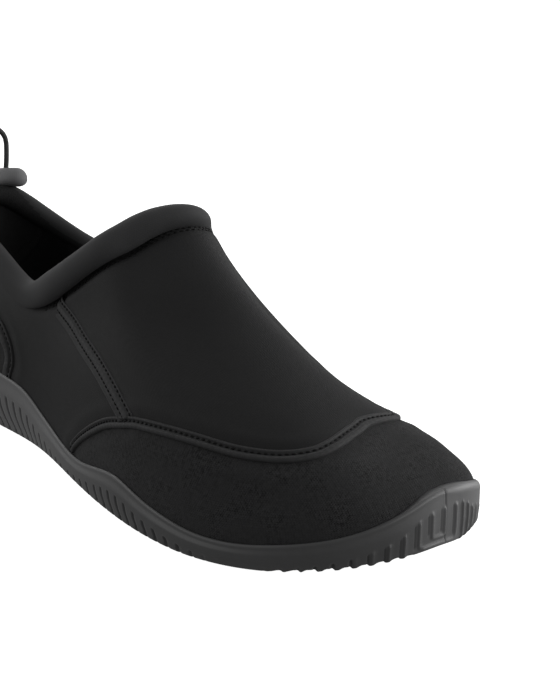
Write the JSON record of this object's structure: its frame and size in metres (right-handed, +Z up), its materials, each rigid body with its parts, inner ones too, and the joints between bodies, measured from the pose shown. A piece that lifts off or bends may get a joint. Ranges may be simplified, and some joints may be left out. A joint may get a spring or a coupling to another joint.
{
  "type": "water shoe",
  "caption": "Right-foot neoprene water shoe: hollow slip-on upper with a padded collar and raised seams, a ribbed rubber cup sole and a cord pull loop at the heel.",
  "frame": {"origin": "middle of the shoe's box in plan, at the level of the sole's flat tread", "axes": "+X from heel to toe, +Y to the inner side of the foot, +Z up"},
  "size_m": [0.2886, 0.1042, 0.1123],
  "materials": {
    "sole_rubber": "matt moulded rubber",
    "insole_fabric": "matt",
    "upper_neoprene": "matt knit",
    "collar_neoprene": "matt padded knit",
    "seam_fabric": "matt piping",
    "loop_cord": "round braided cord"
  },
  "bodies": {
    "root": {"outsole": "sole_rubber", "insole": "insole_fabric", "upper": "upper_neoprene", "collar_cuff": "collar_neoprene", "toe_band_piping": "seam_fabric", "side_piping_outer": "seam_fabric", "side_piping_inner": "seam_fabric", "heel_piping": "seam_fabric", "heel_pull_loop": "loop_cord"}
  },
  "joints": []
}
